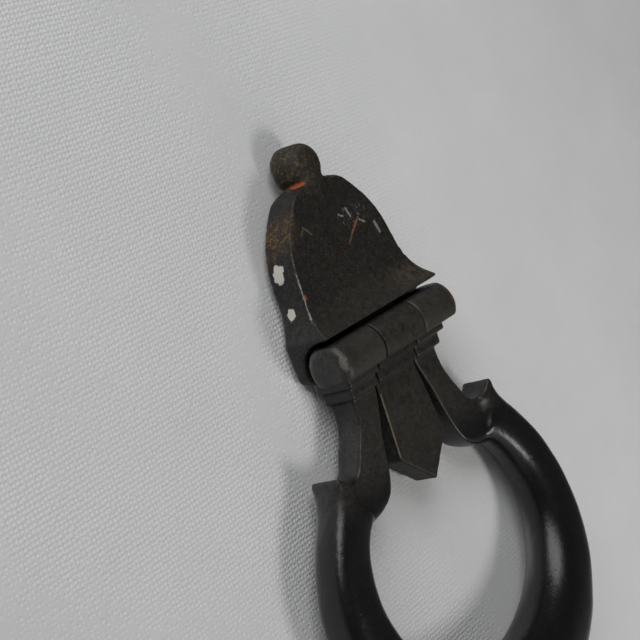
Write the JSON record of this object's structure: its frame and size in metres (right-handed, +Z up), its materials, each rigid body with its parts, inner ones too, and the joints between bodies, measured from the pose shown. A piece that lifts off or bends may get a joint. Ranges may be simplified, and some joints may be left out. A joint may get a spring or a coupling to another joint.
{
  "type": "door knocker",
  "caption": "Cast-iron door knocker: a bell-shaped boss with a shield tongue, and a stirrup ring that swings on a moulded barrel hinge, held by a stud through the door.",
  "frame": {"origin": "centre of the fixing stud where it enters the door face", "axes": "+X to the right seen from the front, +Y into the door, +Z up"},
  "size_m": [0.1032, 0.0774, 0.1634],
  "materials": {
    "boss_iron": "worn black paint over cast iron, with rust and pale scuffs",
    "ring_iron": "worn black paint over cast iron, rubbed smooth by hand",
    "pin_steel": "darkened, lightly rusted steel",
    "fixing_steel": "dull aged steel"
  },
  "bodies": {
    "boss": {"boss_casting": "boss_iron", "hinge_pin": "pin_steel", "fixing_stud": "fixing_steel", "fixing_washer": "fixing_steel", "fixing_nut": "fixing_steel", "locating_spur": "pin_steel"},
    "ring": {"knocker_ring": "ring_iron"}
  },
  "joints": [
    {"name": "ring_swing", "type": "hinge", "parent": "boss", "child": "ring", "pos_m": [0, -0.0105, -0.0253], "axis": [-1, 0, 0], "range_deg": [0, 140]}
  ]
}
